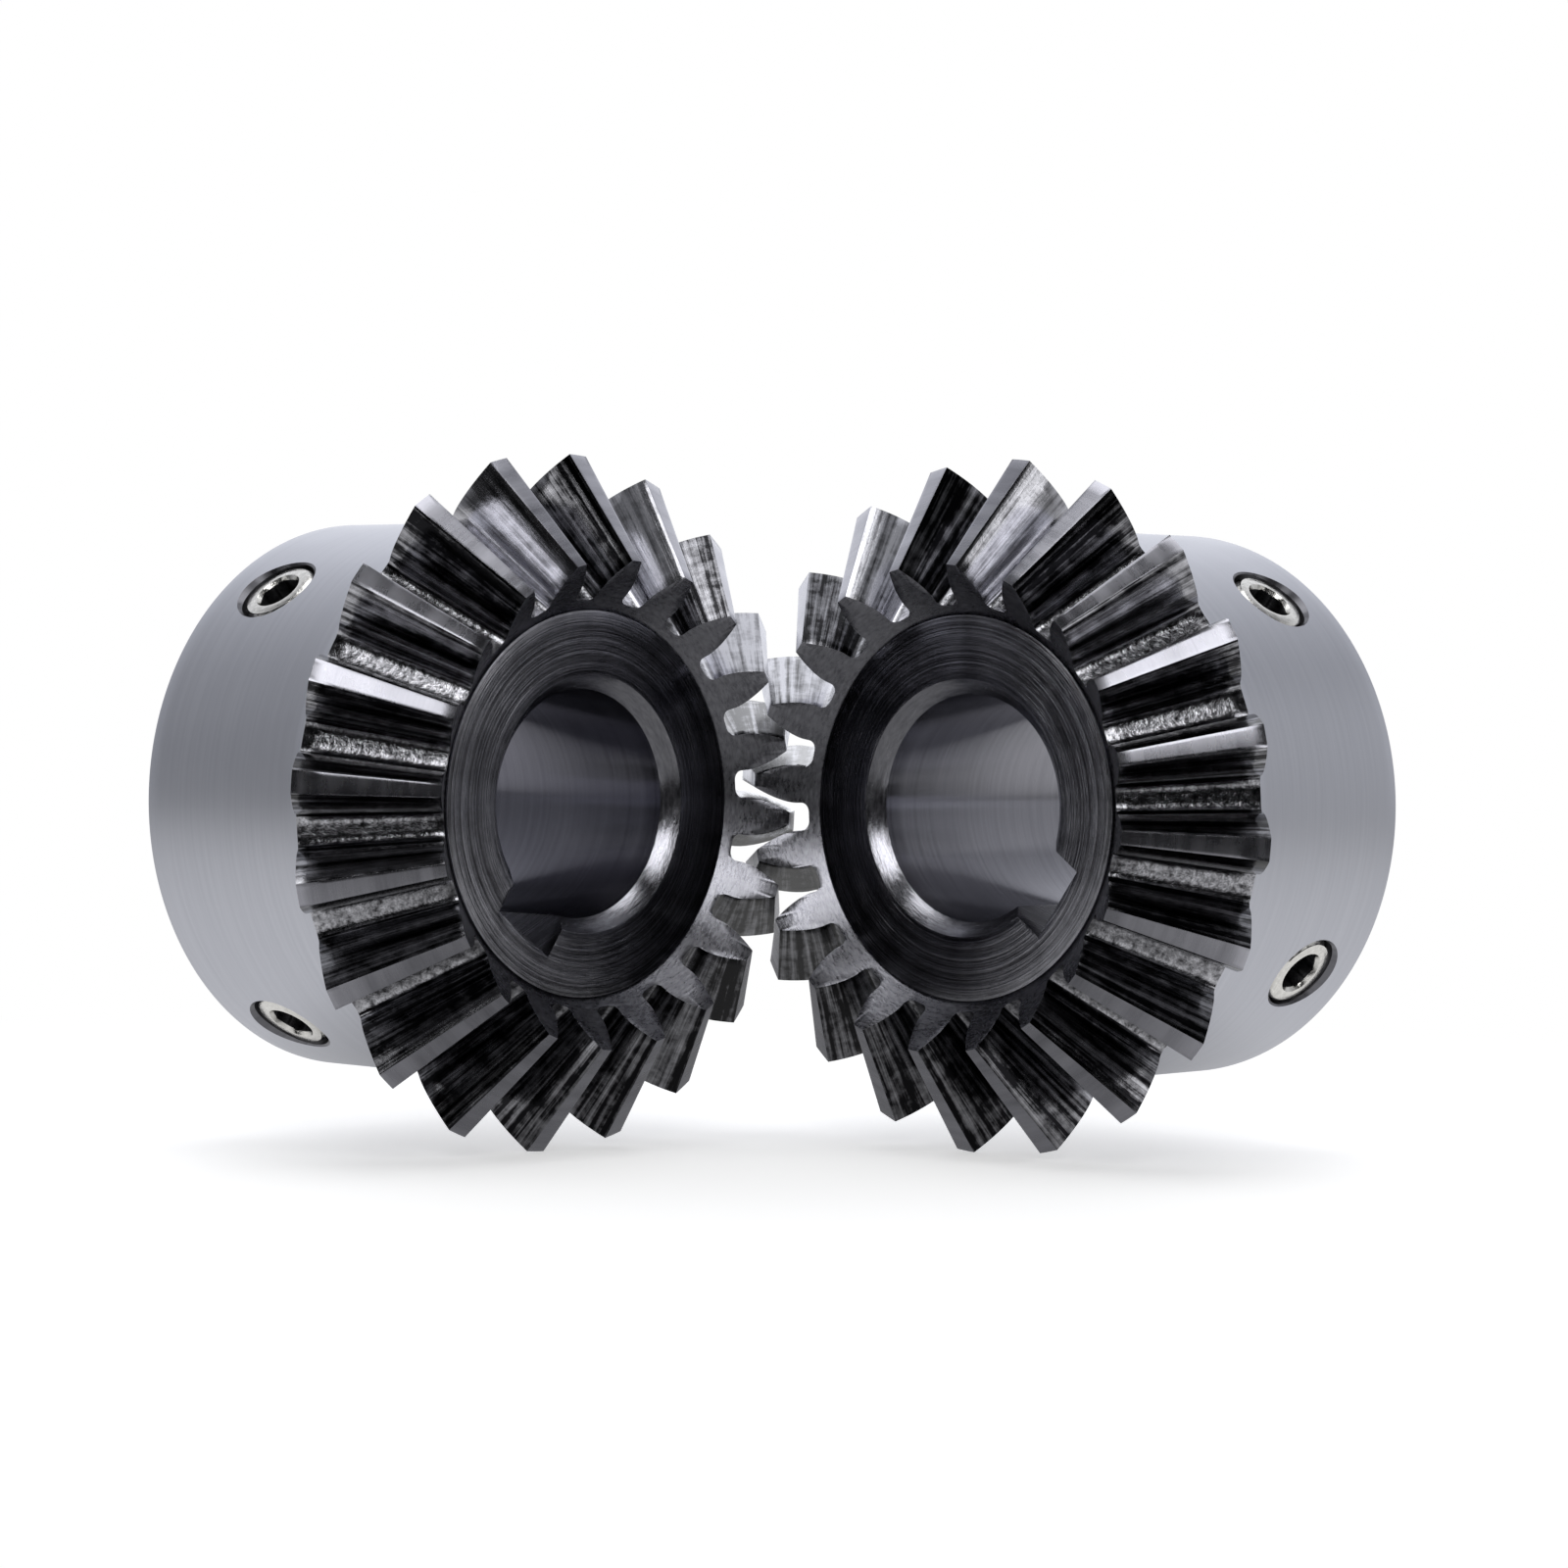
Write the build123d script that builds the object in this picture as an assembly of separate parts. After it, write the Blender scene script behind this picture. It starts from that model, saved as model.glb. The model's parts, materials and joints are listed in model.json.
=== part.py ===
from build123d import *
import math
import os

# A mitre pair of straight bevel gears on crossed shafts, in millimetres and degrees.
# The row frame starts where the two shaft axes cross. Gear A turns about +X, gear B turns about
# +Y, and +Z is square to both shafts. Each gear is drawn once along its own axis, with "station"
# the distance from the apex of its pitch cone, and then stands back a little from the crossing.

# Teeth
MODULE = 2.0
TEETH = 20
PRESSURE_ANGLE = 20.0
PITCH_CONE_ANGLE = 45.0
FACE_WIDTH = 8.7
ADDENDUM = 1.0 * MODULE
HEEL_DEDENDUM = 1.38 * MODULE
TOE_DEDENDUM = 1.0 * MODULE
HEEL_BACKLASH = 0.08
TOE_RELIEF = 0.1
ROOT_FILLET_SHARE = 0.72
TIP_ROUND = 0.35
ASSEMBLY_GAP = 0.4

# Gear body
FRONT_FACE_RADIUS = 11.8
FRONT_FACE_STEP = 0.25
HUB_DIAMETER = 34.5
MOUNTING_DISTANCE = 37.2
HUB_CHAMFER = 0.5

# Bore and keyway
BORE_DIAMETER = 14.0
BORE_CHAMFER = 0.9
KEYWAY_WIDTH = 5.0
KEYWAY_DEPTH = 2.5

# Set screws, M5 with a cup point and a hexagon socket
SCREW_DIAMETER = 5.0
SCREW_PITCH = 0.8
SCREW_HOLE_DIAMETER = 5.1
SCREW_MOUTH_DIAMETER = 5.3
SCREW_STATION = 31.9
SCREW_RECESS = 0.25
PLAIN_SCREW_LENGTH = 8.0
KEY_SCREW_LENGTH = 6.0
SOCKET_ACROSS_FLATS = 2.5
SOCKET_DEPTH = 2.5
SOCKET_LEAD_IN_RIM = 0.1
SOCKET_LEAD_IN_DEPTH = 0.3
SOCKET_DRILL_RADIUS = 1.15
SOCKET_DRILL_TIP_RADIUS = 0.05
SOCKET_DRILL_TIP_HEIGHT = 0.5
CUP_DIAMETER = 2.5
CUP_RIM = 0.1
CUP_DEPTH = 0.7
SCREW_END_CHAMFER = 0.6

# Thrust washers behind the hubs
WASHER_OUTER_DIAMETER = 24.0
WASHER_INNER_DIAMETER = 14.6
WASHER_THICKNESS = 1.0
WASHER_GAP = 0.05
WASHER_CHAMFER = 0.15

# Where each gear stands in its turn. An angle is measured about the gear's own axis, from the
# side where the gears mesh towards +Z.
TOOTH_ANGLE_A = 5.0
PLAIN_SCREW_ANGLE_A = 130.0
KEY_SCREW_ANGLE_A = 216.0
TOOTH_ANGLE_B = -4.0
PLAIN_SCREW_ANGLE_B = 131.0
KEY_SCREW_ANGLE_B = 235.0

# Worked out from the driving dimensions
PITCH_CONE = math.radians(PITCH_CONE_ANGLE)
CONE_DISTANCE = MODULE * TEETH / 2 / math.sin(PITCH_CONE)
TOE_DISTANCE = CONE_DISTANCE - FACE_WIDTH
TOE_ADDENDUM = ADDENDUM * TOE_DISTANCE / CONE_DISTANCE
BASE_CONE = math.asin(math.sin(PITCH_CONE) * math.cos(math.radians(PRESSURE_ANGLE)))
TIP_CONE = PITCH_CONE + math.atan(ADDENDUM / CONE_DISTANCE)
TOOTH_STEP = 360.0 / TEETH
FLANK_STEPS = 8
CUTTER_OVERRUN = math.radians(3.0)
HUB_RADIUS = HUB_DIAMETER / 2
BORE_RADIUS = BORE_DIAMETER / 2
KEYWAY_BOTTOM = BORE_RADIUS + KEYWAY_DEPTH
SCREW_RADIUS = SCREW_DIAMETER / 2

# Frames of the two gears: Z along the shaft away from the crossing, X towards the mesh. The gap
# between the crossing and each apex is what gives the teeth their running clearance.
GEAR_A_PLANE = Plane(origin=(ASSEMBLY_GAP, 0, 0), x_dir=(0, 1, 0), z_dir=(1, 0, 0))
GEAR_B_PLANE = Plane(origin=(0, ASSEMBLY_GAP, 0), x_dir=(1, 0, 0), z_dir=(0, 1, 0))


def cone_point(distance, height):
    """Station and radius of a point at a cone distance, raised square off the pitch cone."""
    station = distance * math.cos(PITCH_CONE) - height * math.sin(PITCH_CONE)
    radius = distance * math.sin(PITCH_CONE) + height * math.cos(PITCH_CONE)
    return station, radius


def involute_angle(cone_angle):
    """Angle about the axis, in degrees, of a spherical involute from its base cone."""
    rolled = math.acos(min(1.0, math.cos(cone_angle) / math.cos(BASE_CONE)))
    swung = math.acos(min(1.0, math.tan(BASE_CONE) / math.tan(cone_angle)))
    return math.degrees(rolled / math.sin(BASE_CONE) - swung)


def polar_point(radius, angle, station):
    return Vector(radius, 0, station).rotate(Axis.Z, angle)


def root_radius(station):
    """Radius of the root line, which runs straight from the toe's root to the heel's."""
    toe_station, toe_radius = cone_point(TOE_DISTANCE, -TOE_DEDENDUM)
    heel_station, heel_radius = cone_point(CONE_DISTANCE, -HEEL_DEDENDUM)
    slope = (heel_radius - toe_radius) / (heel_station - toe_station)
    return toe_radius + slope * (station - toe_station)


def space_point(cone_angle, station):
    """A point on one side of a tooth space, where a cone about the gear's axis meets a station.

    The flank is a spherical involute above the base cone and runs in to the axis below it. The
    space is fair at the heel and eased off in a straight line towards the toe.
    """
    backlash_angle = math.degrees(HEEL_BACKLASH / (MODULE * TEETH))
    base_angle = TOOTH_STEP / 4 + backlash_angle - involute_angle(PITCH_CONE)
    radius = station * math.tan(cone_angle)
    from_heel = CONE_DISTANCE - math.hypot(radius, station)
    relief_angle = math.degrees(TOE_RELIEF * from_heel / FACE_WIDTH / radius)
    involute = involute_angle(max(cone_angle, BASE_CONE))
    return polar_point(radius, base_angle + involute + relief_angle, station)


def tooth_space_section(station):
    """Outline of one tooth space, in the plane square to the axis at a station."""
    outer_cone = TIP_CONE + CUTTER_OVERRUN
    flank = []
    for step in range(FLANK_STEPS + 1):
        cone_angle = outer_cone + (BASE_CONE - outer_cone) * step / FLANK_STEPS
        flank.append(space_point(cone_angle, station))
    root_corner = space_point(math.atan(root_radius(station) / station), station)
    mirrored_flank = [Vector(point.X, -point.Y, point.Z) for point in flank]
    mirrored_corner = Vector(root_corner.X, -root_corner.Y, root_corner.Z)
    fillet_radius = ROOT_FILLET_SHARE * root_corner.Y
    floor_line = FilletPolyline(
        flank[-1], root_corner, mirrored_corner, mirrored_flank[-1], radius=fillet_radius
    )
    edges = [
        Edge.make_spline(flank),
        *floor_line.edges(),
        Edge.make_spline(list(reversed(mirrored_flank))),
        Edge.make_line(mirrored_flank[0], flank[0]),
    ]
    return Wire(edges)


def tooth_space_cutter():
    """The solid that one tooth space removes, centred on the gear's X direction."""
    first_station = cone_point(TOE_DISTANCE, TOE_ADDENDUM)[0] - MODULE
    last_station = cone_point(CONE_DISTANCE, -HEEL_DEDENDUM)[0] + MODULE
    sections = [tooth_space_section(first_station), tooth_space_section(last_station)]
    return Solid.make_loft(sections, ruled=True)


def circle_edges(solid, radius, station):
    """The round edges of a turned solid with one radius at one station."""
    return [
        edge
        for edge in solid.edges().filter_by(GeomType.CIRCLE)
        if abs(edge.radius - radius) < 1e-3 and abs(edge.arc_center.Z - station) < 1e-3
    ]


def turned_blank():
    """The gear as it leaves the lathe: front face, toe cone, tip cone, back cone and hub."""
    toe_tip = cone_point(TOE_DISTANCE, TOE_ADDENDUM)
    heel_tip = cone_point(CONE_DISTANCE, ADDENDUM)
    toe_cone_end = sum(toe_tip) - FRONT_FACE_RADIUS
    back_cone_end = sum(heel_tip) - HUB_RADIUS
    front_station = toe_cone_end - FRONT_FACE_STEP
    profile = [
        (front_station, 0),
        (front_station, FRONT_FACE_RADIUS),
        (toe_cone_end, FRONT_FACE_RADIUS),
        toe_tip,
        heel_tip,
        (back_cone_end, HUB_RADIUS),
        (MOUNTING_DISTANCE, HUB_RADIUS),
        (MOUNTING_DISTANCE, 0),
    ]
    outline = Polyline(*[(radius, 0, station) for station, radius in profile], close=True)
    blank = revolve(make_face(outline), Axis.Z)
    blank = fillet(circle_edges(blank, heel_tip[1], heel_tip[0]), TIP_ROUND)
    return chamfer(circle_edges(blank, HUB_RADIUS, MOUNTING_DISTANCE), HUB_CHAMFER), front_station


def bore_cutter(front_station):
    """The bore with a wide chamfer at each mouth."""
    wide = BORE_RADIUS + BORE_CHAMFER
    profile = [
        (front_station - 1, 0),
        (front_station - 1, wide),
        (front_station, wide),
        (front_station + BORE_CHAMFER, BORE_RADIUS),
        (MOUNTING_DISTANCE - BORE_CHAMFER, BORE_RADIUS),
        (MOUNTING_DISTANCE, wide),
        (MOUNTING_DISTANCE + 1, wide),
        (MOUNTING_DISTANCE + 1, 0),
    ]
    outline = Polyline(*[(radius, 0, station) for station, radius in profile], close=True)
    return revolve(make_face(outline), Axis.Z)


def keyway_cutter(front_station, angle):
    """The keyway, broached right through the bore."""
    length = MOUNTING_DISTANCE - front_station + 2
    slot = Box(KEYWAY_BOTTOM, KEYWAY_WIDTH, length, align=(Align.MIN, Align.CENTER, Align.MIN))
    return Rot(0, 0, angle) * Pos(0, 0, front_station - 1) * slot


def radial_place(angle, radius):
    """A place on the screw ring, with its Z pointing out of the hub."""
    return Rot(0, 0, angle) * Pos(radius, 0, SCREW_STATION) * Rot(0, 90, 0)


def screw_hole_cutter(angle):
    """A radial hole from the bore to the outside of the hub, with a countersunk mouth."""
    hole_radius = SCREW_HOLE_DIAMETER / 2
    mouth_radius = SCREW_MOUTH_DIAMETER / 2
    mouth_depth = mouth_radius - hole_radius
    saddle = HUB_RADIUS - math.sqrt(HUB_RADIUS**2 - mouth_radius**2)
    mouth_top = 1.0
    mouth_rise = mouth_top + saddle
    hole = Cylinder(hole_radius, HUB_RADIUS + 1, align=(Align.CENTER, Align.CENTER, Align.MIN))
    mouth = Cone(
        mouth_radius - mouth_depth,
        mouth_radius + mouth_rise,
        mouth_depth + mouth_rise,
        align=(Align.CENTER, Align.CENTER, Align.MIN),
    )
    mouth = Pos(0, 0, HUB_RADIUS - saddle - mouth_depth) * mouth
    return radial_place(angle, 0) * (hole + mouth)


def make_gear(tooth_angle, plain_screw_angle, key_screw_angle):
    """One whole gear along +Z, with its apex at the origin."""
    gear, front_station = turned_blank()
    gear -= bore_cutter(front_station)
    gear -= keyway_cutter(front_station, key_screw_angle)
    gear -= [screw_hole_cutter(plain_screw_angle), screw_hole_cutter(key_screw_angle)]
    space = tooth_space_cutter()
    turns = [tooth_angle + (number + 0.5) * TOOTH_STEP for number in range(TEETH)]
    gear -= [Rot(0, 0, turn) * space for turn in turns]
    return gear.solid()


def make_set_screw(length):
    """A set screw along +Z, with its socket end at the origin and its cup point below."""
    thread_depth = 0.55 * SCREW_PITCH
    root = SCREW_RADIUS - thread_depth
    top_flat = SCREW_RADIUS - SCREW_END_CHAMFER
    point_radius = CUP_DIAMETER / 2 + CUP_RIM
    point_cone = SCREW_RADIUS - point_radius
    profile = [(0, 0), (top_flat, 0), (SCREW_RADIUS, -SCREW_END_CHAMFER)]
    height = -SCREW_END_CHAMFER
    while height - SCREW_PITCH > -(length - point_cone):
        profile.append((root, height - SCREW_PITCH / 2))
        profile.append((SCREW_RADIUS, height - SCREW_PITCH))
        height -= SCREW_PITCH
    profile.append((SCREW_RADIUS, -(length - point_cone)))
    profile.append((point_radius, -length))
    profile.append((CUP_DIAMETER / 2, -length))
    profile.append((0, -length + CUP_DEPTH))
    outline = Polyline(*[(radius, 0, level) for radius, level in profile], close=True)
    screw = revolve(make_face(outline), Axis.Z)
    corner = SOCKET_ACROSS_FLATS / 2 / math.cos(math.pi / 6)
    socket = Pos(0, 0, -SOCKET_DEPTH) * extrude(RegularPolygon(corner, 6), SOCKET_DEPTH + 1)
    top = (Align.CENTER, Align.CENTER, Align.MAX)
    drill_point = Cone(
        SOCKET_DRILL_TIP_RADIUS, SOCKET_DRILL_RADIUS, SOCKET_DRILL_TIP_HEIGHT, align=top
    )
    mouth = corner + SOCKET_LEAD_IN_RIM
    lead_in = Cone(mouth - SOCKET_LEAD_IN_DEPTH, mouth, SOCKET_LEAD_IN_DEPTH, align=top)
    screw = screw - socket - lead_in - Pos(0, 0, -SOCKET_DEPTH) * drill_point
    return screw.solid()


def place_set_screw(length, angle):
    return radial_place(angle, HUB_RADIUS - SCREW_RECESS) * make_set_screw(length)


def make_thrust_washer():
    """The plain ring that takes the gear's thrust, just clear of the hub's back face."""
    outer = WASHER_OUTER_DIAMETER / 2
    inner = WASHER_INNER_DIAMETER / 2
    seat = MOUNTING_DISTANCE + WASHER_GAP
    bottom = (Align.CENTER, Align.CENTER, Align.MIN)
    disc = Cylinder(outer, WASHER_THICKNESS, align=bottom)
    disc -= Cylinder(inner, WASHER_THICKNESS, align=bottom)
    disc = chamfer(disc.edges().filter_by(GeomType.CIRCLE), WASHER_CHAMFER)
    return (Pos(0, 0, seat) * disc).solid()


def build_gear_set(letter, plane, sign, tooth_angle, plain_angle, key_angle):
    """Every piece of one shaft, moved from its own axis to its place in the row frame."""
    pieces = {
        f"gear_{letter}": make_gear(sign * tooth_angle, sign * plain_angle, sign * key_angle),
        f"set_screw_{letter}_plain": place_set_screw(PLAIN_SCREW_LENGTH, sign * plain_angle),
        f"set_screw_{letter}_key": place_set_screw(KEY_SCREW_LENGTH, sign * key_angle),
        f"thrust_washer_{letter}": make_thrust_washer(),
    }
    return {name: plane.location * piece for name, piece in pieces.items()}


def main():
    os.makedirs("parts", exist_ok=True)
    nodes = build_gear_set(
        "a", GEAR_A_PLANE, 1, TOOTH_ANGLE_A, PLAIN_SCREW_ANGLE_A, KEY_SCREW_ANGLE_A
    )
    nodes |= build_gear_set(
        "b", GEAR_B_PLANE, -1, TOOTH_ANGLE_B, PLAIN_SCREW_ANGLE_B, KEY_SCREW_ANGLE_B
    )
    for name, solid in nodes.items():
        export_step(solid, f"parts/{name}.step")


main()
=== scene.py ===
import json
import math

import bmesh
import bpy
import numpy as np
from mathutils import Matrix, Vector


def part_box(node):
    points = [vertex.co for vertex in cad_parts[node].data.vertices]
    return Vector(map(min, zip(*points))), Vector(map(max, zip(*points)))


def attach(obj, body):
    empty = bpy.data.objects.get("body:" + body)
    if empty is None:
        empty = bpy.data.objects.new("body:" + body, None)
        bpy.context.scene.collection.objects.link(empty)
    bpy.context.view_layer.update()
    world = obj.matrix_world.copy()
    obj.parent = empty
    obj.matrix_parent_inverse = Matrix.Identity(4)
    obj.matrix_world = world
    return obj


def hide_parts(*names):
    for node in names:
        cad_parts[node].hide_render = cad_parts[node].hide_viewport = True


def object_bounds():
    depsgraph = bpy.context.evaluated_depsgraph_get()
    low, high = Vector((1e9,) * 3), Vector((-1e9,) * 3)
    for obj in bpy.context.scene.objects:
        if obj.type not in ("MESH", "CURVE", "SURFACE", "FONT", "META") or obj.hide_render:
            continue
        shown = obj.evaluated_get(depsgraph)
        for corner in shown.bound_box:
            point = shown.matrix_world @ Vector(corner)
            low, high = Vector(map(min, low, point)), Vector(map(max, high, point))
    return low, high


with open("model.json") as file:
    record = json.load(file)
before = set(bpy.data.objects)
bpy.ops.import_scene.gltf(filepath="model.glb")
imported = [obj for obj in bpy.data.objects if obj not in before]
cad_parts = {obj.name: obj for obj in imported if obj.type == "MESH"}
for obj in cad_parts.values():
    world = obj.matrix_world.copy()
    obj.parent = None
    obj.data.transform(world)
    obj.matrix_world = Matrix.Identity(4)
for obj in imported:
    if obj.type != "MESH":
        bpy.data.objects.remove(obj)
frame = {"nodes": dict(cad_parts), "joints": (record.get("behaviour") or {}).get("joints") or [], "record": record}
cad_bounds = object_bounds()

# Everything is drawn in millimetres and scaled to metres as its mesh is made.
MM = 0.001

# Teeth, as in the CAD model
MODULE = 2.0
TEETH = 20
PRESSURE_ANGLE = 20.0
PITCH_CONE = math.radians(45.0)
FACE_WIDTH = 8.7
ADDENDUM = 1.0 * MODULE
HEEL_DEDENDUM = 1.38 * MODULE
TOE_DEDENDUM = 1.0 * MODULE
HEEL_BACKLASH = 0.08
TOE_RELIEF = 0.1
ROOT_FILLET_SHARE = 0.72
TOOTH_ANGLE = {"a": 5.0, "b": 4.0}

# How far the apex of each gear stands from the point where the shafts cross
ASSEMBLY_GAP = 0.4

# Gear body, as in the CAD model
FRONT_FACE_RADIUS = 11.8
FRONT_FACE_STEP = 0.25
HUB_RADIUS = 17.25
HUB_CHAMFER = 0.5
BORE_CHAMFER = 0.9
KEYWAY_HALF_WIDTH = 2.5
KEYWAY_BOTTOM = 9.5
SCREW_HOLE_RADIUS = 2.55
SCREW_MOUTH_RADIUS = 2.65
HOLE_START = 3.0
HOLE_CUTTER_ABOVE = 1.0

# Set screws, M5 with a hexagon socket and a cup point
SCREW_RADIUS = 2.47
SCREW_PITCH = 0.8
THREAD_DEPTH = 0.42
THREAD_SLOPE = 2.3
THREAD_CREST = 0.05
SCREW_TOP_RADIUS = 1.9
SCREW_LENGTHS = {"plain": 8.0, "key": 6.0}
SCREW_RECESS = 0.25
SOCKET_APOTHEM = 1.25
SOCKET_LEAD_IN = 0.22
SOCKET_LEAD_IN_RIM = 0.06
SOCKET_DEPTH = 2.5
SOCKET_TIP_DEPTH = 0.45
SOCKET_FLOOR_SHARE = 0.98
SMALL_BREAK = 0.05
TINY_BREAK = 0.02
CUP_RADIUS = 1.25
CUP_RIM = 0.1
CUP_DEPTH = 0.7

# Worked out from the driving dimensions and from the frame
RECORD = frame["record"]
JOINTS = {joint["name"]: joint for joint in frame["joints"]}
MOUNTS = {mount["name"]: mount for mount in RECORD["mounts"]}
MOUNTING_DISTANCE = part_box("gear_a")[1].x / MM - ASSEMBLY_GAP
BORE_RADIUS = MOUNTS["bore_a"]["dims"]["r_mm"]
CONE_DISTANCE = MODULE * TEETH / 2 / math.sin(PITCH_CONE)
TOE_DISTANCE = CONE_DISTANCE - FACE_WIDTH
BASE_CONE = math.asin(math.sin(PITCH_CONE) * math.cos(math.radians(PRESSURE_ANGLE)))
TIP_CONE = PITCH_CONE + math.atan(ADDENDUM / CONE_DISTANCE)
HALF_STEP = math.pi / TEETH
TOE_SUM = 2 * TOE_DISTANCE * math.cos(PITCH_CONE)
HEEL_SUM = 2 * CONE_DISTANCE * math.cos(PITCH_CONE)

# Frames of the two gears: columns are towards the mesh, square to it, and along the shaft
GEAR_AXES = {
    "a": Matrix(((0, 0, 1), (1, 0, 0), (0, 1, 0))),
    "b": Matrix(((1, 0, 0), (0, 0, 1), (0, -1, 0))),
}


def gear_place(letter):
    """Carries a gear from its own frame, with its apex at the origin, to its place in the row."""
    axes = GEAR_AXES[letter].to_4x4()
    return axes @ Matrix.Translation((0, 0, ASSEMBLY_GAP * MM))


# How finely each stretch of half a tooth space is drawn
FLOOR_STEPS = 3
FILLET_STEPS = 6
FLANK_STEPS = 10
LAND_STEPS = 3
TOOTH_ROWS = 10

# How finely the rest of the gear and the screws are drawn
BACK_CONE_STEPS = 4
HUB_STEPS = 14
BACK_STEPS = 5
BORE_STEPS = 12
FRONT_STEPS = 6
TOE_STEPS = 3
HOLE_SEGMENTS = 64
SCREW_SEGMENTS = 60
THREAD_STEPS = 12

# How many times a search halves its range, and what counts as nothing in an angle
HALVINGS = 40
TINY_ANGLE = 1e-9


# ---------------------------------------------------------------- gear outline


def cone_point(distance, height):
    """Station and radius of a point at a cone distance, raised square off the pitch cone."""
    station = distance * math.cos(PITCH_CONE) - height * math.sin(PITCH_CONE)
    radius = distance * math.sin(PITCH_CONE) + height * math.cos(PITCH_CONE)
    return station, radius


def involute_angle(cone_angle):
    """Angle about the axis of a spherical involute, from where it leaves its base cone."""
    rolled = math.acos(min(1.0, math.cos(cone_angle) / math.cos(BASE_CONE)))
    swung = math.acos(min(1.0, math.tan(BASE_CONE) / math.tan(cone_angle)))
    return rolled / math.sin(BASE_CONE) - swung


def root_radius(station):
    """Radius of the straight root line."""
    toe_station, toe_radius = cone_point(TOE_DISTANCE, -TOE_DEDENDUM)
    heel_station, heel_radius = cone_point(CONE_DISTANCE, -HEEL_DEDENDUM)
    slope = (heel_radius - toe_radius) / (heel_station - toe_station)
    return toe_radius + slope * (station - toe_station)


def space_point(cone_angle, station):
    """A point on one side of a tooth space, in the plane square to the axis at a station."""
    base_angle = HALF_STEP / 2 + HEEL_BACKLASH / (MODULE * TEETH) - involute_angle(PITCH_CONE)
    radius = station * math.tan(cone_angle)
    from_heel = CONE_DISTANCE - math.hypot(radius, station)
    relief_angle = TOE_RELIEF * from_heel / FACE_WIDTH / radius
    angle = base_angle + involute_angle(max(cone_angle, BASE_CONE)) + relief_angle
    return np.array((radius * math.cos(angle), radius * math.sin(angle)))


def half_space_outline(station):
    """Half a tooth space at a station, from the middle of its floor up to the tooth's tip."""
    base = space_point(BASE_CONE, station)
    corner = space_point(math.atan(root_radius(station) / station), station)
    up = (base - corner) / np.linalg.norm(base - corner)
    across = np.array((0.0, -1.0))
    opening = math.acos(up @ across)
    fillet_radius = ROOT_FILLET_SHARE * corner[1]
    trim = fillet_radius / math.tan(opening / 2)
    bisector = (up + across) / np.linalg.norm(up + across)
    centre = corner + bisector * fillet_radius / math.sin(opening / 2)
    floor_end = corner + across * trim - centre
    side_start = corner + up * trim - centre
    points = [np.array((corner[0], corner[1] - trim)) * (1, step / FLOOR_STEPS)
              for step in range(FLOOR_STEPS)]
    sweep = math.pi - opening
    for step in range(FILLET_STEPS + 1):
        share = step / FILLET_STEPS
        weight_floor = math.sin((1 - share) * sweep) / math.sin(sweep)
        weight_side = math.sin(share * sweep) / math.sin(sweep)
        points.append(centre + weight_floor * floor_end + weight_side * side_start)
    for step in range(FLANK_STEPS + 1):
        cone_angle = BASE_CONE + (TIP_CONE - BASE_CONE) * step / FLANK_STEPS
        points.append(space_point(cone_angle, station))
    return np.array(points)


def where_sum_is(first, last, first_station, last_station, target):
    """Points on the straight rulings between two sections where station + radius = target."""
    low = np.zeros(len(first))
    high = np.ones(len(first))
    for _ in range(HALVINGS):
        middle = (low + high) / 2
        flat = first + (last - first) * middle[:, None]
        station = first_station + (last_station - first_station) * middle
        below = station + np.hypot(flat[:, 0], flat[:, 1]) < target
        low = np.where(below, middle, low)
        high = np.where(below, high, middle)
    return np.column_stack((flat, station))


def half_tooth_rows():
    """Rows from toe to heel of half a tooth space and half a land: radius, angle, station."""
    first_station = cone_point(TOE_DISTANCE, ADDENDUM * TOE_DISTANCE / CONE_DISTANCE)[0] - MODULE
    last_station = cone_point(CONE_DISTANCE, -HEEL_DEDENDUM)[0] + MODULE
    first = half_space_outline(first_station)
    last = half_space_outline(last_station)
    toe = where_sum_is(first, last, first_station, last_station, TOE_SUM)
    heel = where_sum_is(first, last, first_station, last_station, HEEL_SUM)
    rows = []
    for step in range(TOOTH_ROWS + 1):
        ruling = toe + (heel - toe) * step / TOOTH_ROWS
        radius = np.hypot(ruling[:, 0], ruling[:, 1])
        angle = np.arctan2(ruling[:, 1], ruling[:, 0])
        land = np.linspace(angle[-1], HALF_STEP, LAND_STEPS + 1)[1:]
        rows.append((
            np.append(radius, [radius[-1]] * LAND_STEPS),
            np.append(angle, land),
            np.append(ruling[:, 2], [ruling[-1, 2]] * LAND_STEPS),
        ))
    return rows


def whole_turn(half, mirrored):
    """One pitch from its half, both sides, repeated for every tooth."""
    sign = -1.0 if mirrored else 1.0
    pitch = np.concatenate((sign * half[:0:-1], half[:-1]))
    return np.tile(pitch, TEETH)


def keyway_radius(relative, mouth_radius):
    """Radius of the bore's outline at angles from the keyway's middle."""
    start = math.asin(KEYWAY_HALF_WIDTH / mouth_radius)
    corner = math.atan(KEYWAY_HALF_WIDTH / KEYWAY_BOTTOM)
    size = np.abs(relative)
    side = KEYWAY_HALF_WIDTH / np.sin(np.maximum(size, corner))
    floor = KEYWAY_BOTTOM / np.cos(np.minimum(size, corner))
    outline = np.where(size < corner, floor, side)
    return np.where(size > start - TINY_ANGLE, mouth_radius, outline)


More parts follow.
